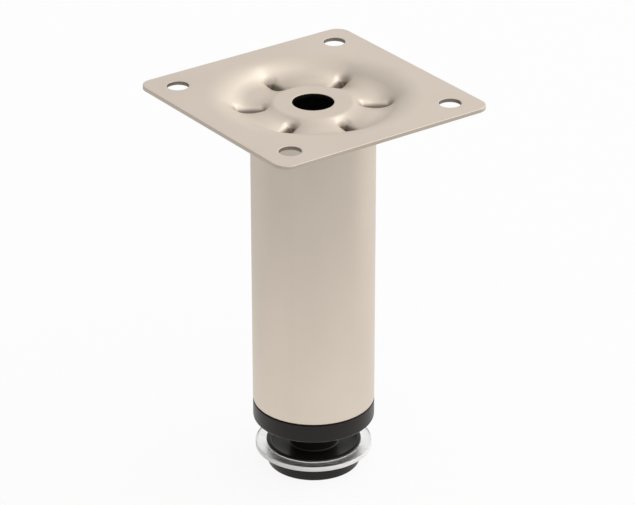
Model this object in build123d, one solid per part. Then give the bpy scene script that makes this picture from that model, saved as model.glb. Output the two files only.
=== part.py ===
from build123d import *
import os
from math import atan2, cos, radians, sin, tan

# Adjustable steel furniture leg. Millimetres, +Z up, origin on the floor under the middle of the foot.

# Top plate, a stamping from steel sheet
leg_height = 98.9
plate_side = 60.0
plate_corner_radius = 3.5
sheet_thickness = 1.0
screw_hole_diameter = 5.3
screw_hole_spacing = 46.0
centre_hole_diameter = 10.0

# Round dish pressed down into the plate, with a flat disc left in its middle
dish_diameter = 49.0
dish_steepest_diameter = 39.4
dish_floor_diameter = 31.2
dish_depth = 2.45
disc_diameter = 19.0
disc_depth = 2.0

# Radial dents pressed over the tube's wall, which stand out below as welding ribs
dent_count = 6
dent_turn = 30.0
dent_middle_radius = 15.0
notch_depth = 2.7
notch_length = 4.8
notch_width = 0.5
notch_wall_angle = 56.0
notch_end_angle = 60.0
flank_depth = 1.4
flank_length = 3.0
flank_width = 1.2
flank_wall_angle = 21.0
flank_wall_height = 0.9
flank_edge_angle = 12.0
flank_edge_height = 0.65
flank_dish_angle = 50.0
flank_inner_end_angle = 25.0
flank_outer_end_angle = 36.0
weld_penetration = 0.8

# Tube
tube_diameter = 30.0
tube_wall = 1.0

# Plastic insert: collar under the tube's end, ribbed plug inside the tube
collar_height = 5.1
collar_edge_chamfer = 0.7
shadow_gap_height = 0.35
shadow_gap_depth = 0.4
insert_floor = 2.5
skirt_length = 16.0
skirt_wall = 1.6
skirt_clearance = 0.3
skirt_lead_in = 0.6
crush_rib_count = 8
crush_rib_radius = 0.8
crush_rib_clearance = 0.02
hub_wall = 1.5
web_count = 6
web_thickness = 1.4
shoulder_thickness = 3.5

# Thread, nut and stud
thread_diameter = 8.0
thread_clearance = 0.06
nut_across_flats = 13.0
nut_thickness = 6.5
nut_chamfer = 0.7
pocket_clearance = 0.05
stud_clearance = 0.3
stud_end_past_insert = 8.3
stud_chamfer = 0.8
slot_width = 1.2
slot_depth = 1.6
stud_head_height = 2.6
stud_head_cover = 1.5

# Foot, screwed out from the insert by this much where the leg rests
foot_gap = 6.6
foot_diameter = 22.9
foot_rim_diameter = 23.5
foot_height = 6.0
sole_edge_chamfer = 0.35
rim_width = 1.1
rim_edge_chamfer = 0.25
rim_depth = 1.0
neck_diameter = 11.6
neck_length = 9.2
neck_chamfer = 0.5
neck_root_chamfer = 0.4
neck_nut_gap = 0.5
screw_in_travel = 5.625

# Clear ring held in a groove round the foot's rim
ring_width = 2.85
ring_thickness = 1.3
ring_chamfer = 0.25
ring_height = 4.93
ring_groove_depth = 0.3
ring_clearance = 0.15

# Levels and radii that follow from the sizes above
tube_radius = tube_diameter / 2
tube_bore_radius = tube_radius - tube_wall
disc_radius = disc_diameter / 2
dish_radius = dish_diameter / 2
dish_steepest_radius = dish_steepest_diameter / 2
dish_floor_radius = dish_floor_diameter / 2
plate_top = leg_height
plate_reach = plate_side
foot_rim_radius = foot_rim_diameter / 2
neck_radius = neck_diameter / 2
neck_root_level = foot_height - rim_depth
neck_top = neck_root_level + neck_length
collar_bottom = foot_height + foot_gap
tube_bottom = collar_bottom + collar_height
nut_bottom = neck_top + screw_in_travel + neck_nut_gap
nut_top = nut_bottom + nut_thickness
hub_top = nut_top + shoulder_thickness
pocket_across_flats = nut_across_flats + 2 * pocket_clearance
hub_radius = pocket_across_flats / 2 / cos(radians(30)) + hub_wall
stud_radius = thread_diameter / 2


def section(*edges):
    """A closed outline in the XZ plane, as a face."""
    return make_face(Wire(edges))


def point(radius, level):
    return (radius, 0, level)


def polygon_section(*corners):
    """A straight-sided outline in the XZ plane, from (radius, level) corners."""
    return make_face(Polyline(*[point(*corner) for corner in corners], close=True))


def hexagon_prism(across_flats, bottom, top):
    outline = RegularPolygon(across_flats / 2, 6, major_radius=False)
    return Pos(0, 0, bottom) * extrude(outline, top - bottom)


def skin(sink):
    """One skin of the dished sheet from past the corners to the middle, sunk below the upper skin.

    From the flat rim an S of two tangent arcs goes down to the dish's floor, which meets the disc in a cone.
    """
    down = Vector(0, 0, -sink)
    rim_edge = Vector(plate_reach, 0, plate_top)
    dish_edge = Vector(dish_radius, 0, plate_top)
    valley = Vector(dish_floor_radius, 0, plate_top - dish_depth)
    disc_edge = Vector(disc_radius, 0, plate_top - disc_depth)
    disc_middle = Vector(0, 0, plate_top - disc_depth)
    steepest_share = (dish_radius - dish_steepest_radius) / (dish_radius - dish_floor_radius)
    steepest = 2 * atan2(dish_depth, dish_radius - dish_floor_radius)
    wall_normal = Vector(-sin(steepest), 0, cos(steepest))
    wall_middle = dish_edge + (valley - dish_edge) * steepest_share - wall_normal * sink
    upper_arc = TangentArc(dish_edge + down, wall_middle, tangent=(-1, 0, 0))
    lower_arc = TangentArc(wall_middle, valley + down, tangent=upper_arc % 1)
    return [
        Line(rim_edge + down, dish_edge + down),
        upper_arc,
        lower_arc,
        Line(valley + down, disc_edge + down),
        Line(disc_edge + down, disc_middle + down),
    ]


def rising(half_bottom, *slopes):
    """Corners of a trough's side from its bottom's edge upwards, from (angle, height) of each slope."""
    corners = [(half_bottom, 0)]
    for angle, height in slopes:
        reach, level = corners[-1]
        corners.append((reach + height / tan(radians(angle)), level + height))
    return corners


def trough(bottom, side, inner_end, outer_end, growth):
    """A flat-bottomed trough along a radius, from the corners of its sides and ends; growth widens it all round."""
    profiles = []
    for left, right in ((side, side), (inner_end, outer_end)):
        mirrored = [(-reach, level) for reach, level in reversed(left)]
        profile = make_face(Polyline(*mirrored, *right, close=True))
        if growth > 0:
            profile = offset(profile, growth, kind=Kind.INTERSECTION)
        profiles.append(profile)
    across, along = profiles
    across_prism = extrude(Plane.YZ * across, plate_side, both=True)
    along_prism = extrude(Plane.XZ * along, plate_side, both=True)
    return Pos(dent_middle_radius, 0, bottom) * (across_prism & along_prism)


def dent(growth):
    """What presses one dent: shallow flanks with a steep notch in their middle."""
    headroom = dish_depth + notch_depth + sheet_thickness
    flank_slopes = [
        (flank_wall_angle, flank_wall_height),
        (flank_edge_angle, flank_edge_height),
        (flank_dish_angle, headroom),
    ]
    flank_side = rising(flank_width / 2, *flank_slopes)
    flank_inner_end = rising(flank_length / 2, (flank_inner_end_angle, headroom))
    flank_outer_end = rising(flank_length / 2, (flank_outer_end_angle, headroom))
    notch_side = rising(notch_width / 2, (notch_wall_angle, headroom))
    notch_end = rising(notch_length / 2, (notch_end_angle, headroom))
    flanks = trough(plate_top - dish_depth - flank_depth, flank_side, flank_inner_end, flank_outer_end, growth)
    notch = trough(plate_top - dish_depth - notch_depth, notch_side, notch_end, notch_end, growth)
    return flanks + notch


def make_top_plate():
    """The sheet lies between its two skins: under the upper one, and over the lower one or inside a grown dent."""
    reach_level = plate_side / 2
    upper = skin(0)
    lower = skin(sheet_thickness)
    floor_level = plate_top - reach_level
    below = Line(point(0, floor_level), point(plate_reach, floor_level))
    inner_side = Line(upper[-1] @ 1, point(0, floor_level))
    outer_side = Line(point(plate_reach, floor_level), upper[0] @ 0)
    under_upper_skin = revolve(section(*upper, inner_side, below, outer_side), Axis.Z)
    ceiling_level = plate_top + reach_level
    above = Line(point(0, ceiling_level), point(plate_reach, ceiling_level))
    inner_side = Line(lower[-1] @ 1, point(0, ceiling_level))
    outer_side = Line(point(plate_reach, ceiling_level), lower[0] @ 0)
    sheet = revolve(section(*lower, inner_side, above, outer_side), Axis.Z)
    outside_dent = dent(sheet_thickness)
    inside_dent = dent(0)
    for turn in PolarLocations(0, dent_count, dent_turn):
        sheet += turn * outside_dent
    sheet &= under_upper_skin
    for turn in PolarLocations(0, dent_count, dent_turn):
        sheet -= turn * inside_dent
    blank = Pos(0, 0, floor_level) * extrude(RectangleRounded(plate_side, plate_side, plate_corner_radius), plate_side)
    plate = sheet & blank
    corner_holes = GridLocations(screw_hole_spacing, screw_hole_spacing, 2, 2)
    for place in corner_holes:
        plate -= Pos(0, 0, plate_top) * place * Cylinder(screw_hole_diameter / 2, 4 * sheet_thickness)
    plate -= Pos(0, 0, plate_top - disc_depth) * Cylinder(centre_hole_diameter / 2, 4 * sheet_thickness)
    return plate


def make_leg_tube(top_plate):
    """The tube's upper end stands on the welding ribs, which are melted into it a little."""
    rib_level = plate_top - dish_depth - notch_depth - sheet_thickness
    tube_top = rib_level + weld_penetration
    length = tube_top - tube_bottom
    ring = Circle(tube_radius) - Circle(tube_bore_radius)
    tube = Pos(0, 0, tube_bottom) * extrude(ring, length)
    return tube - top_plate


def make_tube_insert():
    gap_bottom = tube_bottom - shadow_gap_height
    seat_radius = tube_radius - shadow_gap_depth
    skirt_radius = tube_bore_radius - skirt_clearance
    skirt_inside = skirt_radius - skirt_wall
    skirt_top = tube_bottom + skirt_length
    floor_top = collar_bottom + insert_floor
    collar = Pos(0, 0, collar_bottom) * Cylinder(
        tube_radius, gap_bottom - collar_bottom, align=(Align.CENTER, Align.CENTER, Align.MIN)
    )
    collar = chamfer(collar.edges().sort_by(Axis.Z)[0], collar_edge_chamfer)
    plug = revolve(
        polygon_section(
            (0, collar_bottom + collar_edge_chamfer),
            (seat_radius, collar_bottom + collar_edge_chamfer),
            (seat_radius, tube_bottom),
            (skirt_radius, tube_bottom),
            (skirt_radius, skirt_top - skirt_lead_in),
            (skirt_radius - skirt_lead_in, skirt_top),
            (0, skirt_top),
        ),
        Axis.Z,
    )
    well = revolve(
        polygon_section(
            (0, hub_top),
            (hub_radius, hub_top),
            (hub_radius, floor_top),
            (skirt_inside, floor_top),
            (skirt_inside, skirt_top),
            (0, skirt_top),
        ),
        Axis.Z,
    )
    web_length = skirt_inside + skirt_wall / 2
    web = Pos(web_length / 2, 0, (floor_top + hub_top) / 2) * Box(web_length, web_thickness, hub_top - floor_top)
    crush_rib_reach = tube_bore_radius - crush_rib_clearance - crush_rib_radius
    crush_rib_length = skirt_length - 2 * skirt_lead_in
    crush_rib = Pos(crush_rib_reach, 0, tube_bottom) * Cylinder(
        crush_rib_radius, crush_rib_length, align=(Align.CENTER, Align.CENTER, Align.MIN)
    )
    insert = collar + plug - well
    for turn in PolarLocations(0, web_count):
        insert += turn * web
    for turn in PolarLocations(0, crush_rib_count):
        insert += turn * crush_rib
    insert -= hexagon_prism(pocket_across_flats, collar_bottom, nut_top)
    bore_radius = stud_radius + stud_clearance
    insert -= Pos(0, 0, hub_top) * Cylinder(bore_radius, 4 * shoulder_thickness)
    return insert


def make_thread_nut():
    blank = hexagon_prism(nut_across_flats, nut_bottom, nut_top)
    corner_radius = nut_across_flats / 2 / cos(radians(30))
    turned = Pos(0, 0, nut_bottom) * Cylinder(
        corner_radius, nut_thickness, align=(Align.CENTER, Align.CENTER, Align.MIN)
    )
    turned = chamfer(turned.edges().filter_by(GeomType.CIRCLE), nut_chamfer / 2, nut_chamfer)
    bore = Pos(0, 0, nut_bottom) * Cylinder(stud_radius + thread_clearance, 4 * nut_thickness)
    return (blank & turned) - bore


def make_adjuster_stud():
    stud_top = hub_top + stud_end_past_insert
    head = hexagon_prism(nut_across_flats, stud_head_cover, stud_head_cover + stud_head_height)
    shank = Pos(0, 0, stud_head_cover) * Cylinder(
        stud_radius, stud_top - stud_head_cover, align=(Align.CENTER, Align.CENTER, Align.MIN)
    )
    shank = chamfer(shank.edges().sort_by(Axis.Z)[-1], stud_chamfer)
    slot = Pos(0, 0, stud_top) * Box(thread_diameter, slot_width, 2 * slot_depth)
    return head + shank - slot


def ring_section(growth):
    """Section of the clear ring, which sits in the groove; growth makes it larger all round."""
    groove_radius = foot_rim_radius - ring_groove_depth
    middle_radius = groove_radius + ring_clearance + ring_width / 2
    outline = chamfer(Rectangle(ring_width, ring_thickness).vertices(), ring_chamfer)
    if growth > 0:
        outline = offset(outline, growth, kind=Kind.INTERSECTION)
    return Plane.XZ * Pos(middle_radius, ring_height) * outline


def make_clear_ring():
    return revolve(ring_section(0), Axis.Z)


def make_adjuster_foot(stud):
    rim_inside = foot_rim_radius - rim_width
    body = revolve(
        polygon_section(
            (0, 0),
            (foot_diameter / 2, 0),
            (foot_rim_radius, foot_height),
            (rim_inside + rim_edge_chamfer, foot_height),
            (rim_inside, foot_height - rim_edge_chamfer),
            (neck_radius + neck_root_chamfer, neck_root_level),
            (neck_radius, neck_root_level + neck_root_chamfer),
            (neck_radius, neck_top),
            (0, neck_top),
        ),
        Axis.Z,
    )
    circles = body.edges().filter_by(GeomType.CIRCLE).group_by(Axis.Z)
    body = chamfer(circles[0], sole_edge_chamfer)
    circles = body.edges().filter_by(GeomType.CIRCLE).group_by(Axis.Z)
    body = chamfer(circles[-1], neck_chamfer)
    groove = revolve(ring_section(ring_clearance), Axis.Z)
    return body - groove - stud


def save(shape, name):
    export_step(shape, "parts/" + name + ".step")


os.makedirs("parts", exist_ok=True)
top_plate = make_top_plate()
adjuster_stud = make_adjuster_stud()
save(top_plate, "top_plate")
save(make_leg_tube(top_plate), "leg_tube")
save(make_tube_insert(), "tube_insert")
save(make_thread_nut(), "thread_nut")
save(adjuster_stud, "adjuster_stud")
save(make_adjuster_foot(adjuster_stud), "adjuster_foot")
save(make_clear_ring(), "clear_ring")
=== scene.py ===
import math

import bmesh
import bpy
from mathutils import Matrix, Vector


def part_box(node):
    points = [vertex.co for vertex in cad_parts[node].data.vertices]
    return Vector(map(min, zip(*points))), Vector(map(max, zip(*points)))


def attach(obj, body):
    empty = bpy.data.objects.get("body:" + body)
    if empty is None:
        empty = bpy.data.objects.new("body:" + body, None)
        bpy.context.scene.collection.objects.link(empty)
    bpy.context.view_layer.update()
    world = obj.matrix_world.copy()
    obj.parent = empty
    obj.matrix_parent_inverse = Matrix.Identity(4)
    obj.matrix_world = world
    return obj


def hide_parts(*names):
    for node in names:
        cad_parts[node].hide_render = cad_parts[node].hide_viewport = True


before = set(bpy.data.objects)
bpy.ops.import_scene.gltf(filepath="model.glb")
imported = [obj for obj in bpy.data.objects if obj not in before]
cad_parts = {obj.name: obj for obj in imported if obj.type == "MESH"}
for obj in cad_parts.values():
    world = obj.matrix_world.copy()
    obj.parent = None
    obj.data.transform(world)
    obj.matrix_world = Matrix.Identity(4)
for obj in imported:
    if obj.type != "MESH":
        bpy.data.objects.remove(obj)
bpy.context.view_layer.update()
scene = bpy.context.scene

# Top plate: 1 mm steel sheet, blanked, pierced and pressed in one tool, then satin nickel plated.
# A round dish sinks its middle, and six radial dents over the tube's wall stand out below as
# welding ribs. Four screw holes near the corners take wood screws.
plate_low, plate_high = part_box("top_plate")
plate_top = plate_high.z
plate_side = plate_high.x - plate_low.x
sheet_thickness = 0.0010
plate_corner_radius = 0.0035
plate_corner_segments = 14
screw_hole_radius = 0.00265
screw_hole_offset = 0.0230
screw_hole_steps = 64
centre_hole_radius = 0.0050
dish_radius = 0.0262
dish_rim = 0.0265
rim_power = 2.4
dish_steepest_radius = 0.01965
dish_floor_radius = 0.01600
dish_depth = 0.00238
valley_radius = 0.0130
disc_radius = 0.00946
disc_depth = 0.00195
disc_blend = 0.0010
dent_count = 6
dent_turn = math.radians(30.0)
dent_middle = 0.01495
notch_depth = 0.0031
notch_half_length = 0.0027
notch_wall_slope = math.tan(math.radians(61.0))
notch_end_slope = math.tan(math.radians(67.0))
flank_depth = 0.00165
flank_width = 0.0093
flank_steepening = 3.4
flank_crease = 0.00097
flank_inner_length = 0.0062
flank_outer_length = 0.0080
pressing_softness = 0.0017
relief_rings = ((0.0094, 6), (0.0210, 82), (dish_rim, 18))
relief_steps = 432
flat_margin = 0.0004
rib_tip_squash = 0.1
shear_edge = 0.00012
sheared_angle = math.radians(70)
merge_distance = 1e-7
flat_face_weight = 90

nickel_dark = (0.640, 0.563, 0.480, 1.0)
nickel_light = (0.700, 0.620, 0.532, 1.0)
# Painted shade for the notches and steep walls, darker than the plating's own colour.
painted_shade_nickel = (0.23, 0.195, 0.163, 1.0)
# Painted shade: near black on the centre hole's walls.
painted_hole_shade = (0.02, 0.018, 0.016, 1.0)
# Depths and slopes over which the painted shade comes in, and its strength on the plate's outer sides and
# on walls in the dish and holes.
painted_shade_from = plate_top - dish_depth - 0.38 * notch_depth
painted_shade_to = plate_top - dish_depth - 0.58 * notch_depth
steep_from = 0.66
steep_to = 0.42
side_painted_shade = 0.20
wall_painted_shade = 0.90


class Shade:
    """A shader socket that adds its own Math nodes when it is used in an expression."""

    def __init__(self, tree, socket):
        self.tree = tree
        self.socket = socket

    def node(self, kind, settings=None, **inputs):
        """A new node: first its settings, then its sockets, by name or by number as i0, i1 and so on."""
        made = self.tree.nodes.new(kind)
        for name, value in (settings or {}).items():
            setattr(made, name, value)
        for name, value in inputs.items():
            numbered = name[0] == "i" and name[1:].isdigit()
            socket = made.inputs[int(name[1:]) if numbered else name.replace("_", " ")]
            if isinstance(value, Shade):
                self.tree.links.new(value.socket, socket)
            else:
                socket.default_value = value
        return made

    def out(self, kind, output=0, settings=None, **inputs):
        """One output of a new node, by number or name."""
        return Shade(self.tree, self.node(kind, settings, **inputs).outputs[output])

    def worked_out(self, kind, output, operation, *values):
        numbered = {f"i{number}": value for number, value in enumerate(values)}
        return self.out(kind, output, {"operation": operation}, **numbered)

    def maths(self, operation, *others):
        """Math on this number and others."""
        return self.worked_out("ShaderNodeMath", 0, operation, self, *others)

    def vector(self, operation, *others):
        """Vector Math on this vector and others. A dot product or a length is the node's second output."""
        output = 1 if operation in ("DOT_PRODUCT", "LENGTH") else 0
        return self.worked_out("ShaderNodeVectorMath", output, operation, self, *others)

    def ramp(self, start, end, low, high):
        """This number's place between start and end, as a number from low to high."""
        return self.out("ShaderNodeMapRange", i0=self, i1=start, i2=end, i3=low, i4=high)

    def blend(self, first, second):
        """A colour between two, with this share of the second one."""
        return self.out("ShaderNodeMix", 2, {"data_type": "RGBA"}, i0=self, i6=first, i7=second)

    def noise(self, scale, detail, roughness):
        settled = {"Scale": scale, "Detail": detail, "Roughness": roughness}
        return self.out("ShaderNodeTexNoise", Vector=self, **settled)

    def bump(self, strength, distance):
        return self.out("ShaderNodeBump", Height=self, Strength=strength, Distance=distance)

    def flattened(self):
        """This place without its height."""
        return self.vector("MULTIPLY", (1.0, 1.0, 0.0))

    def from_axis(self):
        """This place's distance from the Z axis."""
        return self.flattened().vector("LENGTH")

    def feed(self, shader, name):
        self.tree.links.new(self.socket, shader.inputs[name])

    def __add__(self, other):
        return self.maths("ADD", other)

    def __sub__(self, other):
        return self.maths("SUBTRACT", other)

    def __mul__(self, other):
        return self.maths("MULTIPLY", other)

    __radd__ = __add__
    __rmul__ = __mul__

    def __rsub__(self, other):
        return self.worked_out("ShaderNodeMath", 0, "SUBTRACT", other, self)


def new_material(name):
    """A material with its Principled shader, and a Shade of the object's own coordinates to build on."""
    material = bpy.data.materials.new(name)
    material.use_nodes = True
    tree = material.node_tree
    place = Shade(tree, tree.nodes.new("ShaderNodeTexCoord").outputs["Object"])
    return material, tree.nodes["Principled BSDF"], place


def satin_nickel(name, grain_stretch, darkened):
    """Satin nickel plate: warm grey metal, evenly matted, with a very fine grain and faint clouding.

    Where a piece's plating is missing, or where shade is painted into its colour, darkened changes the
    colour and the roughness at a place.
    """
    material, principled, place = new_material(name)
    principled.inputs["Metallic"].default_value = 1.0
    clouds = place.noise(scale=70.0, detail=3.0, roughness=0.5)
    stretched = place.out("ShaderNodeMapping", Vector=place, Scale=grain_stretch)
    grain = stretched.noise(scale=3000.0, detail=2.0, roughness=0.6)
    colour = clouds.blend(nickel_dark, nickel_light)
    roughness = 0.40 + 0.05 * clouds + 0.05 * grain
    colour, roughness = darkened(place, colour, roughness)
    colour.feed(principled, "Base Color")
    roughness.feed(principled, "Roughness")
    grain.bump(strength=0.12, distance=0.00004).feed(principled, "Normal")
    return material


def painted_shade_in_notches(place, colour, roughness):
    """Painted shade: darkens the colour deep in a notch and on steep walls in the dish and the screw
    holes, more faintly on the plate's outer sides, and raises the roughness there.
    """
    level = place.out("ShaderNodeSeparateXYZ", "Z", Vector=place)
    normal = place.out("ShaderNodeNewGeometry", "Normal")
    upward = normal.out("ShaderNodeSeparateXYZ", "Z", Vector=normal)
    deep = level.ramp(painted_shade_from, painted_shade_to, 0.0, 1.0) * upward.maths("GREATER_THAN", 0.0)
    steep = upward.maths("ABSOLUTE").ramp(steep_from, steep_to, 0.0, 1.0)
    reach = place.from_axis()
    in_dish = reach.maths("LESS_THAN", dish_rim)
    in_centre_hole = reach.maths("LESS_THAN", centre_hole_radius + 2 * shear_edge)
    hole_place = (screw_hole_offset, screw_hole_offset, 0.0)
    from_hole = place.flattened().vector("ABSOLUTE").vector("SUBTRACT", hole_place)
    hole_reach = from_hole.vector("LENGTH")
    in_screw_hole = hole_reach.maths("LESS_THAN", screw_hole_radius + 2 * shear_edge)
    within = in_dish.maths("MAXIMUM", in_screw_hole)
    shade_strength = side_painted_shade + (wall_painted_shade - side_painted_shade) * within
    shade_and_dullness = deep.maths("MAXIMUM", steep * shade_strength)
    colour = shade_and_dullness.blend(colour, painted_shade_nickel)
    # The centre hole's steep walls are painted near black as shade.
    colour = (steep * in_centre_hole).blend(colour, painted_hole_shade)
    return colour, roughness + 0.15 * shade_and_dullness


def weigh_normals(piece):
    """Flat faces keep their flat shading up to the small rounded edges beside them."""
    modifier = piece.modifiers.new("flat_faces", "WEIGHTED_NORMAL")
    modifier.weight = flat_face_weight
    modifier.keep_sharp = True


def add_piece(name, bm, material, slot, body, *nodes):
    """Makes a smooth-shaded piece of a bmesh. It stands for its CAD nodes and rides on their body."""
    mesh = bpy.data.meshes.new(name)
    bm.to_mesh(mesh)
    bm.free()
    mesh.shade_smooth()
    mesh.materials.append(material)
    piece = bpy.data.objects.new(name, mesh)
    scene.collection.objects.link(piece)
    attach(piece, body)
    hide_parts(*nodes)
    weigh_normals(piece)


def turn_about_z(bm, profile, steps, closed=False, rise=0.0):
    """Spins (radius, height) points once about Z, as a screw where a rise is given."""
    points = [bm.verts.new((radius, 0, height)) for radius, height in profile]
    pairs = list(zip(points, points[1:]))
    if closed:
        pairs.append((points[-1], points[0]))
    sides = [bm.edges.new(pair) for pair in pairs]
    bmesh.ops.spin(
        bm,
        geom=points + sides,
        cent=(0, 0, 0),
        axis=(0, 0, 1),
        dvec=(0, 0, rise / steps),
        angle=2 * math.pi,
        steps=steps,
        use_merge=rise == 0.0,
    )


def round_off(bm, geom, offset, segments, affect="EDGES"):
    bmesh.ops.bevel(
        bm,
        geom=geom,
        offset=offset,
        offset_type="OFFSET",
        affect=affect,
        segments=segments,
        profile=0.5,
        material=-1,
    )


def distance_from_axis(vert):
    return vert.co.to_2d().length


def share_of(position, start, end):
    """How far a position lies from start to end, kept between 0 and 1."""
    return min(max((position - start) / (end - start), 0.0), 1.0)


def dish_level(radius):
    """Level of the round dish: a soft rim, arcs down to the floor, then a rise to the flat disc."""
    upper_run = (dish_radius - dish_steepest_radius) * 2 / rim_power
    lower_run = dish_steepest_radius - dish_floor_radius
    if radius > dish_steepest_radius:
        upper = share_of(radius, dish_radius, dish_steepest_radius)
        level = -dish_depth * upper**rim_power * upper_run / (upper_run + lower_run)
    else:
        lower = share_of(radius, dish_floor_radius, dish_steepest_radius)
        level = -dish_depth * (1 - lower**2 * lower_run / (upper_run + lower_run))
    return level + (dish_depth - disc_depth) * share_of(radius, valley_radius, disc_radius) ** 2


def softer_low(first, second, softness):
    """The lower of two heights, with the corner where they meet rounded as bent sheet is."""
    spread = max(softness - abs(first - second), 0.0) / softness
    return min(first, second) - spread**2 * softness / 4


def relief_level(x, y):
    """Level of the pressed sheet's upper skin below the plate's top: dish, soft flanks, steep notches."""
    radius = math.hypot(x, y)
    pitch = 2 * math.pi / dent_count
    turn = (math.atan2(y, x) - dent_turn + pitch / 2) % pitch - pitch / 2
    along = radius * math.cos(turn) - dent_middle
    aside = abs(radius * math.sin(turn))
    flank_length = flank_outer_length if along > 0 else flank_inner_length
    reach = 1 - share_of(abs(along), 0.0, flank_length)
    reach = reach**2 * (3 - 2 * reach) * share_of(radius, disc_radius, disc_radius + disc_blend)
    flank_reach = math.hypot(aside, flank_crease) - flank_crease
    flank_share = max(1 - flank_reach / flank_width, 0.0) ** flank_steepening
    level = dish_level(radius) - flank_depth * reach * flank_share
    past_end = max(abs(along) - notch_half_length, 0.0)
    notch_rise = math.hypot(aside * notch_wall_slope, past_end * notch_end_slope)
    return softer_low(level, notch_rise - dish_depth - notch_depth, pressing_softness)


plate = bmesh.new()
relief_line = [(centre_hole_radius, 0.0)]
for ring_end, ring_count in relief_rings:
    ring_start = relief_line[-1][0]
    for number in range(1, ring_count + 1):
        relief_line.append((ring_start + (ring_end - ring_start) * number / ring_count, 0.0))
turn_about_z(plate, relief_line, relief_steps)
bmesh.ops.remove_doubles(plate, verts=plate.verts, dist=merge_distance)
for vert in plate.verts:
    vert.co.z = relief_level(vert.co.x, vert.co.y)
border = [
    edge
    for edge in plate.edges
    if edge.is_boundary and distance_from_axis(edge.verts[0]) > dish_steepest_radius
]
corners = bmesh.ops.create_circle(
    plate, segments=4, radius=plate_side / math.sqrt(2), matrix=Matrix.Rotation(math.pi / 4, 4, "Z")
)["verts"]
round_off(plate, corners, plate_corner_radius, plate_corner_segments, affect="VERTICES")
border += [edge for edge in plate.edges if not edge.link_faces]
for side_x in (-1, 1):
    for side_y in (-1, 1):
        hole_middle = Matrix.Translation((side_x * screw_hole_offset, side_y * screw_hole_offset, 0))
        bmesh.ops.create_circle(
            plate, segments=screw_hole_steps, radius=screw_hole_radius, matrix=hole_middle
        )
        border += [edge for edge in plate.edges if not edge.link_faces and edge not in border]
bmesh.ops.triangle_fill(plate, use_beauty=True, edges=border)
bmesh.ops.recalc_face_normals(plate, faces=plate.faces)
if sum(face.normal.z for face in plate.faces) < 0:
    bmesh.ops.reverse_faces(plate, faces=plate.faces)
bmesh.ops.translate(plate, verts=plate.verts, vec=(0, 0, plate_top))
bmesh.ops.inset_region(
    plate, faces=plate.faces, thickness=flat_margin, use_boundary=True, use_even_offset=True
)
bmesh.ops.solidify(plate, geom=plate.faces[:], thickness=sheet_thickness)
for vert in plate.verts:
    if vert.co.z < plate_low.z:
        vert.co.z = plate_low.z + rib_tip_squash * (vert.co.z - plate_low.z)
sheared = []
for edge in plate.edges:
    if len(edge.link_faces) == 2 and edge.calc_face_angle() > sheared_angle:
        edge_reach = distance_from_axis(edge.verts[0])
        if edge_reach > dish_rim or edge_reach < centre_hole_radius + shear_edge:
            sheared.append(edge)
round_off(plate, sheared, shear_edge, 2)
# The sheet's colour carries painted shade in its notches, on its steep walls and in the centre hole.
plate_nickel = satin_nickel("satin_nickel_sheet", (1.0, 1.0, 1.0), painted_shade_in_notches)
add_piece("pressed_plate", plate, plate_nickel, "nickel_plate", "leg", "top_plate")


# Leg tube: 30 mm steel tube with a 1 mm wall, cut square, welded to the plate's six ribs and then
# plated with it. The plating's grain follows the tube's drawing marks, which run along it, and the
# plating doesn't reach the bore.
tube_low, tube_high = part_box("leg_tube")
tube_bottom = tube_low.z
tube_top = tube_high.z
tube_radius = tube_high.x
tube_wall = 0.0010
tube_steps = 192
end_radius = 0.0003
arc_middle = 0.3 * end_radius
along_tube = (1.0, 1.0, 0.06)
bare_radius = tube_radius - 0.8 * tube_wall
bare_steel = (0.035, 0.032, 0.030, 1.0)


def bare_in_bore(place, colour, roughness):
    """The bore shows dark bare steel."""
    bare = place.from_axis().maths("LESS_THAN", bare_radius)
    return bare.blend(colour, bare_steel), roughness + 0.2 * bare


def spun(outline, steps):
    """A ring turned about Z from a closed outline of (radius, height) points."""
    made = bmesh.new()
    turn_about_z(made, outline, steps, closed=True)
    bmesh.ops.remove_doubles(made, verts=made.verts, dist=merge_distance)
    bmesh.ops.recalc_face_normals(made, faces=made.faces)
    return made


tube_outline = [
    (tube_radius - tube_wall, tube_top),
    (tube_radius, tube_top),
    (tube_radius, tube_bottom + end_radius),
    (tube_radius - arc_middle, tube_bottom + arc_middle),
    (tube_radius - end_radius, tube_bottom),
    (tube_radius - tube_wall, tube_bottom),
]
tube_nickel = satin_nickel("satin_nickel_tube", along_tube, bare_in_bore)
add_piece("steel_tube", spun(tube_outline, tube_steps), tube_nickel, "nickel_tube", "leg", "leg_tube")


# Insert: black moulded plug, pressed into the tube up to its collar. Its hex pocket holds the nut, the
# foot's neck goes up into it, and six webs join its hub to the skirt inside the tube.
insert_low, insert_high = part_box("tube_insert")
collar_bottom = insert_low.z
skirt_top = insert_high.z
collar_radius = tube_radius
collar_rounding = 0.0007
shoulder_rounding = 0.0001
shadow_gap = 0.00035
shadow_gap_depth = 0.0004
seat_radius = tube_radius - shadow_gap_depth
skirt_clearance = 0.0003
skirt_radius = tube_radius - tube_wall - skirt_clearance
skirt_wall = 0.0016
skirt_lead_in = 0.0006
insert_floor = 0.0025
pocket_across_flats = 0.0131
pocket_corner_radius = pocket_across_flats / math.sqrt(3)
nut_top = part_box("thread_nut")[1].z
shoulder_thickness = 0.0035
hub_top = nut_top + shoulder_thickness
hub_wall = 0.0015
hub_radius = pocket_corner_radius + hub_wall
stud_bore_radius = 0.0043
web_count = 6
web_thickness = 0.0014
web_sunk = 0.0004
round_steps = 120
insert_merge_distance = 2e-6
edge_tolerance = 2e-5
black_dark = (0.0065, 0.0053, 0.0048, 1.0)
black_light = (0.0110, 0.0095, 0.0085, 1.0)


def circle_edges(bm, radius, segments, matrix):
    """The edges of a new circle, for a later fill."""
    made = bmesh.ops.create_circle(bm, segments=segments, radius=radius, matrix=matrix)
    return list({edge for vert in made["verts"] for edge in vert.link_edges})


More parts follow.
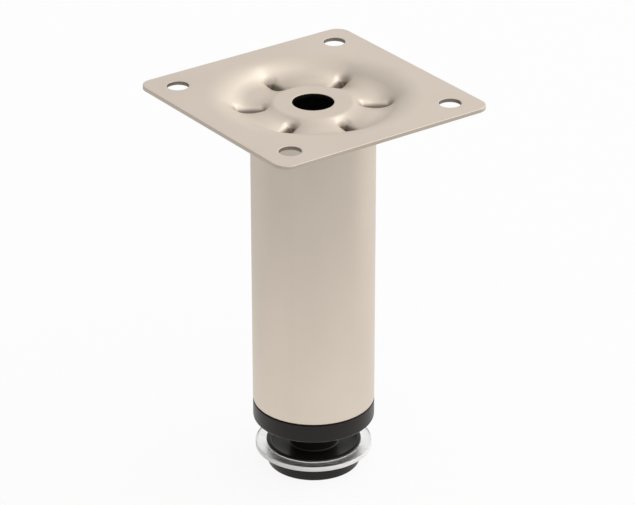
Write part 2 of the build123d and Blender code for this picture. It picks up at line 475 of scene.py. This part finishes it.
def rounded_edges(bm, radius, height, offset, segments):
    """Rounds the circular edges that lie at that radius and height."""
    chosen = []
    for edge in bm.edges:
        if all(
            abs(distance_from_axis(vert) - radius) < edge_tolerance
            and abs(vert.co.z - height) < edge_tolerance
            for vert in edge.verts
        ):
            chosen.append(edge)
    round_off(bm, chosen, offset, segments)


def moulded_black(name, roughness_low):
    """Black moulded plastic with the fine spark-eroded texture of its mould."""
    material, principled, place = new_material(name)
    texture = place.noise(scale=2500.0, detail=2.0, roughness=0.6)
    patches = place.noise(scale=120.0, detail=2.0, roughness=0.5)
    patches.blend(black_dark, black_light).feed(principled, "Base Color")
    principled.inputs["Specular IOR Level"].default_value = 0.27
    principled.inputs["Specular Tint"].default_value = (1.0, 0.94, 0.90, 1.0)
    (roughness_low + 0.12 * texture).feed(principled, "Roughness")
    texture.bump(strength=0.15, distance=0.00005).feed(principled, "Normal")
    return material


insert = bmesh.new()
hex_turn = Matrix.Rotation(math.radians(30), 4, "Z")
at_collar = Matrix.Translation((0, 0, collar_bottom))
pocket_mouth = circle_edges(insert, pocket_corner_radius, 6, at_collar @ hex_turn)
underside = circle_edges(insert, collar_radius, round_steps, at_collar)
bmesh.ops.triangle_fill(insert, use_beauty=True, edges=pocket_mouth + underside)
pocket_walls = bmesh.ops.extrude_edge_only(insert, edges=pocket_mouth)["geom"]
pocket_top = [item for item in pocket_walls if isinstance(item, bmesh.types.BMVert)]
bmesh.ops.translate(insert, verts=pocket_top, vec=(0, 0, nut_top - collar_bottom))
pocket_rim = [edge for edge in insert.edges if all(vert in pocket_top for vert in edge.verts)]
bore_rim = circle_edges(insert, stud_bore_radius, round_steps, Matrix.Translation((0, 0, nut_top)))
bmesh.ops.triangle_fill(insert, use_beauty=True, edges=pocket_rim + bore_rim)
insert_outline = [
    (stud_bore_radius, nut_top),
    (stud_bore_radius, hub_top),
    (hub_radius, hub_top),
    (hub_radius, collar_bottom + insert_floor),
    (skirt_radius - skirt_wall, collar_bottom + insert_floor),
    (skirt_radius - skirt_wall, skirt_top),
    (skirt_radius - skirt_lead_in, skirt_top),
    (skirt_radius, skirt_top - skirt_lead_in),
    (skirt_radius, tube_bottom),
    (seat_radius, tube_bottom),
    (seat_radius, tube_bottom - shadow_gap),
    (collar_radius, tube_bottom - shadow_gap),
    (collar_radius, collar_bottom),
]
turn_about_z(insert, insert_outline, round_steps)
bmesh.ops.remove_doubles(insert, verts=insert.verts, dist=insert_merge_distance)
bmesh.ops.recalc_face_normals(insert, faces=insert.faces)
rounded_edges(insert, collar_radius, collar_bottom, collar_rounding, 5)
rounded_edges(insert, collar_radius, tube_bottom - shadow_gap, shoulder_rounding, 2)
web_inside = hub_radius - web_sunk
web_outside = skirt_radius - skirt_wall / 2
web_low = collar_bottom + insert_floor / 2
web_size = Matrix.Diagonal((web_outside - web_inside, web_thickness, hub_top - web_low, 1))
web_middle = Matrix.Translation(((web_outside + web_inside) / 2, 0, (hub_top + web_low) / 2))
for number in range(web_count):
    web_turn = Matrix.Rotation(2 * math.pi * number / web_count, 4, "Z")
    bmesh.ops.create_cube(insert, size=1.0, matrix=web_turn @ web_middle @ web_size)
insert_black = moulded_black("moulded_black_insert", 0.30)
add_piece("moulded_insert", insert, insert_black, "black_insert", "leg", "tube_insert")


# Nut: M8 hex nut, zinc plated steel, held from turning in the insert's hex pocket. It can't be seen
# from outside, so it is the solid itself with a finish.
zinc_dark = (0.46, 0.48, 0.50, 1.0)
zinc_light = (0.58, 0.59, 0.60, 1.0)


def bright_zinc(name):
    """Bright zinc plate: cool grey metal with faint turning marks and slight clouding."""
    material, principled, place = new_material(name)
    principled.inputs["Metallic"].default_value = 1.0
    clouds = place.noise(scale=260.0, detail=3.0, roughness=0.5)
    stretched = place.out("ShaderNodeMapping", Vector=place, Scale=(1.0, 1.0, 4.0))
    marks = stretched.noise(scale=1800.0, detail=2.0, roughness=0.6)
    clouds.blend(zinc_dark, zinc_light).feed(principled, "Base Color")
    (0.26 + 0.14 * marks).feed(principled, "Roughness")
    marks.bump(strength=0.2, distance=0.00003).feed(principled, "Normal")
    return material


nut_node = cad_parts["thread_nut"]
nut_node.data.materials.clear()
nut_node.data.materials.append(bright_zinc("zinc_nut"))


# Stud: M8 threaded stud, zinc plated steel, moulded into the foot by its hex head. The slot in its
# upper end takes a screwdriver through the plate's centre hole.
stud_low, stud_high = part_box("adjuster_stud")
thread_pitch = 0.00125
crest_radius = 0.00398
root_radius = 0.00328
thread_profile = ((root_radius, 0.0), (root_radius, 0.16), (crest_radius, 0.52), (crest_radius, 0.64))
stud_steps = 48
head_top = stud_low.z + 0.0026
head_corner_radius = 0.013 / math.sqrt(3)
slot_width = 0.0012
slot_depth = 0.0016
slot_floor = stud_high.z - slot_depth
thread_start = head_top + 0.0010
first_turns_cut = 1.2
thread_low = thread_start + first_turns_cut * thread_pitch
thread_end_margin = 0.0008
shank_radius = root_radius - 0.00005
shank_overlap = 0.0003
cut_tolerance = 1e-7


def cut_level(bm, height, side):
    """Cuts a bmesh at a height, drops what lies on that side of it, and closes the cut with a face."""
    cut = bmesh.ops.bisect_plane(
        bm,
        geom=bm.verts[:] + bm.edges[:] + bm.faces[:],
        dist=cut_tolerance,
        plane_co=(0, 0, height),
        plane_no=(0, 0, side),
        clear_outer=True,
        clear_inner=False,
    )
    rim = [item for item in cut["geom_cut"] if isinstance(item, bmesh.types.BMEdge)]
    bmesh.ops.contextual_create(bm, geom=rim)


def faces_at(bm, height):
    """The faces that lie flat at a height."""
    return [
        face
        for face in bm.faces
        if all(abs(vert.co.z - height) < cut_tolerance for vert in face.verts)
    ]


def solid_bar(bm, radius, low, high, segments, matrix=Matrix()):
    bmesh.ops.create_cone(
        bm,
        cap_ends=True,
        segments=segments,
        radius1=radius,
        radius2=radius,
        depth=high - low,
        matrix=Matrix.Translation((0, 0, (high + low) / 2)) @ matrix,
    )


stud = bmesh.new()
turns = int((stud_high.z - thread_start - thread_end_margin) / thread_pitch)
thread_line = []
for number in range(turns):
    for radius, pitch_share in thread_profile:
        thread_line.append((radius, thread_start + (number + pitch_share) * thread_pitch))
thread_line.append((root_radius, thread_start + turns * thread_pitch))
turn_about_z(stud, thread_line, stud_steps, rise=thread_pitch)
bmesh.ops.remove_doubles(stud, verts=stud.verts, dist=merge_distance)
cut_level(stud, thread_low, -1)
cut_level(stud, slot_floor, 1)
for side_y in (-1, 1):
    end_faces = faces_at(stud, slot_floor)
    end_edges = list({edge for face in end_faces for edge in face.edges})
    end_verts = list({vert for face in end_faces for vert in face.verts})
    bmesh.ops.bisect_plane(
        stud,
        geom=end_verts + end_edges + end_faces,
        dist=cut_tolerance,
        plane_co=(0, side_y * slot_width / 2, 0),
        plane_no=(0, 1, 0),
    )
lips = [face for face in faces_at(stud, slot_floor) if abs(face.calc_center_median().y) > slot_width / 2]
lip_tops = bmesh.ops.extrude_face_region(stud, geom=lips)["geom"]
bmesh.ops.delete(stud, geom=lips, context="FACES_ONLY")
lip_verts = [item for item in lip_tops if isinstance(item, bmesh.types.BMVert)]
bmesh.ops.translate(stud, verts=lip_verts, vec=(0, 0, slot_depth))
solid_bar(stud, head_corner_radius, stud_low.z, head_top, 6, hex_turn)
solid_bar(stud, shank_radius, head_top - shank_overlap, thread_low + shank_overlap, stud_steps)
bmesh.ops.recalc_face_normals(stud, faces=stud.faces)
add_piece("threaded_stud", stud, bright_zinc("zinc_stud"), "zinc_steel", "foot", "adjuster_stud")


# Foot: black moulded plastic, round and slightly tapered, with a shallow recess in its top round the
# neck that goes up into the insert, and a groove round its rim for the clear ring.
neck_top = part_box("adjuster_foot")[1].z
sole_radius = 0.01145
sole_rounding = 0.0004
rim_rounding = 0.0002
recess_rounding = 0.0003
neck_root_rounding = 0.0006
neck_top_rounding = 0.0005
foot_rim_radius = 0.01175
foot_height = 0.0060
foot_steps = 160
rim_width = 0.0011
recess_radius = foot_rim_radius - rim_width
recess_depth = 0.0010
recess_floor = foot_height - recess_depth
recess_draft = 0.0002
neck_radius = 0.0058
ring_low, ring_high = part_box("clear_ring")
groove_depth = 0.00030
groove_clearance = 0.00012
groove_floor_radius = foot_rim_radius - groove_depth
groove_bottom = ring_low.z - groove_clearance
groove_top = ring_high.z + groove_clearance
groove_lip_taper = 0.00008
foot_merge_distance = 1e-6
foot = bmesh.new()
foot_outline = [
    (0, 0),
    (sole_radius, 0),
    (foot_rim_radius - groove_lip_taper, groove_bottom),
    (groove_floor_radius, groove_bottom),
    (groove_floor_radius, groove_top),
    (foot_rim_radius, groove_top),
    (foot_rim_radius, foot_height),
    (recess_radius, foot_height),
    (recess_radius - recess_draft, recess_floor),
    (neck_radius, recess_floor),
    (neck_radius, neck_top),
    (crest_radius, neck_top),
    (crest_radius, head_top),
    (head_corner_radius, head_top),
    (head_corner_radius, stud_low.z),
    (0, stud_low.z),
]
turn_about_z(foot, foot_outline, foot_steps)
bmesh.ops.remove_doubles(foot, verts=foot.verts, dist=foot_merge_distance)
bmesh.ops.recalc_face_normals(foot, faces=foot.faces)
rounded_edges(foot, sole_radius, 0, sole_rounding, 4)
rounded_edges(foot, foot_rim_radius, foot_height, rim_rounding, 3)
rounded_edges(foot, recess_radius, foot_height, recess_rounding, 4)
rounded_edges(foot, neck_radius, recess_floor, neck_root_rounding, 5)
rounded_edges(foot, neck_radius, neck_top, neck_top_rounding, 3)
foot_black = moulded_black("moulded_black_foot", 0.25)
add_piece("moulded_foot", foot, foot_black, "black_foot", "foot", "adjuster_foot")


# Ring: flat ring of clear plastic, snapped into the groove round the foot's rim. Its outer edge is
# finely matted, as a moulded or cut edge is, so that it gathers the light of the whole ring.
ring_width = 0.00285
ring_edge = 0.00025
ring_steps = 180
ring_outer_radius = ring_high.x
ring_inner_radius = ring_outer_radius - ring_width
matt_radius = ring_outer_radius - 0.0002
matt_blend = 0.0001
matt_share = 0.85
clear_colour = (1.0, 0.995, 0.985, 1.0)
milky_colour = (0.83, 0.82, 0.80, 1.0)
plastic_ior = 1.49


def clear_plastic(name):
    """Clear glossy plastic with the faint unevenness of moulding, matted and milky at its outer edge."""
    material, principled, place = new_material(name)
    tree = place.tree
    principled.inputs["Base Color"].default_value = clear_colour
    principled.inputs["IOR"].default_value = plastic_ior
    principled.inputs["Transmission Weight"].default_value = 1.0
    principled.inputs["Coat Weight"].default_value = 0.6
    principled.inputs["Coat Roughness"].default_value = 0.06
    ripples = place.noise(scale=220.0, detail=2.0, roughness=0.5)
    (0.30 + 0.10 * ripples).feed(principled, "Roughness")
    ripples.bump(strength=0.25, distance=0.0003).feed(principled, "Normal")
    milky = place.out("ShaderNodeBsdfPrincipled", Base_Color=milky_colour, Roughness=0.35, IOR=plastic_ior)
    matt = place.from_axis().ramp(matt_radius, matt_radius + matt_blend, 0.0, matt_share)
    clear = Shade(tree, principled.outputs[0])
    mixed = matt.out("ShaderNodeMixShader", i0=matt, i1=clear, i2=milky)
    mixed.feed(tree.nodes["Material Output"], "Surface")
    return material


ring_outline = [
    (ring_inner_radius, ring_low.z),
    (ring_outer_radius, ring_low.z),
    (ring_outer_radius, ring_high.z),
    (ring_inner_radius, ring_high.z),
]
ring = spun(ring_outline, ring_steps)
for edge_radius, edge_level in ring_outline:
    rounded_edges(ring, edge_radius, edge_level, ring_edge, 3)
ring_plastic = clear_plastic("clear_ring_plastic")
add_piece("flat_clear_ring", ring, ring_plastic, "clear_plastic", "ring", "clear_ring")


# Stage: pale floor, white to the camera and in reflections. It stays under the foot as that is screwed
# out and in, because the foot stands on it at every height.
floor_size = 3.0
floor_colour = (0.8, 0.8, 0.8, 1.0)
glow_colour = (1.0, 1.0, 1.0, 1.0)
glow_share = 0.9
near_reach = 0.085
far_reach = 0.195
near_glow = 1.11
far_glow = 0.58
left_span = (-0.045, -0.095)
left_glow = 1.13
behind_span = (0.05, -0.02)
lit_corner_span = (0.02, 0.08)
lit_corner_glow = 1.05
dim_corner_span = (-0.04, -0.11)
dim_corner_glow = 0.90
camera_azimuth = math.radians(-35.846)
sideways = Vector((math.cos(camera_azimuth), math.sin(camera_azimuth), 0))
toward_camera = Vector((math.sin(camera_azimuth), -math.cos(camera_azimuth), 0))
floor = bmesh.new()
bmesh.ops.create_grid(floor, x_segments=1, y_segments=1, size=floor_size)
floor_mesh = bpy.data.meshes.new("floor")
floor.to_mesh(floor_mesh)
floor.free()
floor_object = bpy.data.objects.new("floor", floor_mesh)
scene.collection.objects.link(floor_object)
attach(floor_object, "ring")

# What mirrors the floor sees its glow fall off with distance, as in a studio that is lit from above,
# with a lit corner behind the leg on the right and a dim one on the left. The camera sees plain white.
white, white_principled, white_place = new_material("white_floor")
white_tree = white_place.tree
white_principled.inputs["Base Color"].default_value = floor_colour
white_principled.inputs["Roughness"].default_value = 0.9
rays = white_place.node("ShaderNodeLightPath")
to_camera = Shade(white_tree, rays.outputs["Is Camera Ray"])
mirrored_ray = Shade(white_tree, rays.outputs["Is Glossy Ray"])
passing_ray = Shade(white_tree, rays.outputs["Is Transmission Ray"])
seen = to_camera.maths("MAXIMUM", mirrored_ray.maths("MAXIMUM", passing_ray))
near_side = white_place.vector("DOT_PRODUCT", toward_camera)
right_side = white_place.vector("DOT_PRODUCT", sideways)
falling = white_place.vector("LENGTH").ramp(near_reach, far_reach, near_glow, far_glow)
falling = falling * right_side.ramp(*left_span, 1.0, left_glow)
behind = near_side.ramp(*behind_span, 0.0, 1.0)
lit_corner = behind * right_side.ramp(*lit_corner_span, 0.0, 1.0)
dim_corner = behind * right_side.ramp(*dim_corner_span, 0.0, 1.0)
mirrored = falling * (1 - lit_corner) + lit_corner_glow * lit_corner
mirrored = mirrored * (1 - dim_corner) + dim_corner_glow * dim_corner
strength = mirrored * (1 - to_camera) + to_camera
glow = white_place.out("ShaderNodeEmission", Color=glow_colour, Strength=strength)
matt_white = Shade(white_tree, white_principled.outputs[0])
floor_mix = seen.out("ShaderNodeMixShader", i0=glow_share * seen, i1=matt_white, i2=glow)
floor_mix.feed(white_tree.nodes["Material Output"], "Surface")
floor_mesh.materials.append(white)


# Light: a pale room, brighter on the right of the photograph's view than on the left and white to the
# camera, with one large soft lamp high up on the right.
room_light = 0.93
room_light_right = 0.72
room_light_left = 0.50
room_colour = (1.0, 1.0, 1.0, 1.0)
lamp_size = 0.8
lamp_power = 1.6
lamp_place = sideways * 0.75 - toward_camera * 0.30 + Vector((0, 0, 1.05))
lamp_aim = Vector((0, 0, 0.08))
world = bpy.data.worlds.new("studio")
scene.world = world
world.use_nodes = True
world_tree = world.node_tree
room = Shade(world_tree, world_tree.nodes.new("ShaderNodeTexCoord").outputs["Generated"])
to_right = room.vector("DOT_PRODUCT", sideways)
strength = room_light + room_light_right * to_right.maths("MAXIMUM", 0.0)
strength = strength + room_light_left * to_right.maths("MINIMUM", 0.0)
background = world_tree.nodes["Background"]
background.inputs["Color"].default_value = room_colour
strength.feed(background, "Strength")
lit_room = Shade(world_tree, background.outputs[0])
seen_white = room.out("ShaderNodeBackground", Color=room_colour, Strength=1.0)
room_ray = room.out("ShaderNodeLightPath", "Is Camera Ray")
room_mix = room.out("ShaderNodeMixShader", i0=room_ray, i1=lit_room, i2=seen_white)
room_mix.feed(world_tree.nodes["World Output"], "Surface")
lamp = bpy.data.lights.new("right", "AREA")
lamp.shape = "SQUARE"
lamp.size = lamp_size
lamp.energy = lamp_power
lamp_object = bpy.data.objects.new("right", lamp)
lamp_object.location = lamp_place
lamp_object.rotation_euler = (lamp_aim - lamp_place).to_track_quat("-Z", "Y").to_euler()
scene.collection.objects.link(lamp_object)


# Camera: a long lens above the plate, at the photograph's viewing angle. Its place and its lens were
# fitted to the plate's corners and holes, the tube's sides and the foot.
camera_elevation = math.radians(26.454)
camera_distance = 0.7725
camera_roll = math.radians(-0.06)
aim_height = 0.05720
aim_aside = 0.00100
lens_mm = 181.18
sensor_mm = 36.0
aim = sideways * aim_aside + Vector((0, 0, aim_height))
outward = toward_camera * math.cos(camera_elevation) + Vector((0, 0, math.sin(camera_elevation)))
eye = aim + outward * camera_distance
camera_data = bpy.data.cameras.new("camera")
camera_data.lens = lens_mm
camera_data.sensor_width = sensor_mm
camera = bpy.data.objects.new("camera", camera_data)
camera.location = eye
look = (aim - eye).to_track_quat("-Z", "Y").to_matrix().to_4x4()
camera.rotation_euler = (look @ Matrix.Rotation(camera_roll, 4, "Z")).to_euler()
scene.collection.objects.link(camera)
scene.camera = camera
scene.view_settings.view_transform = "Standard"
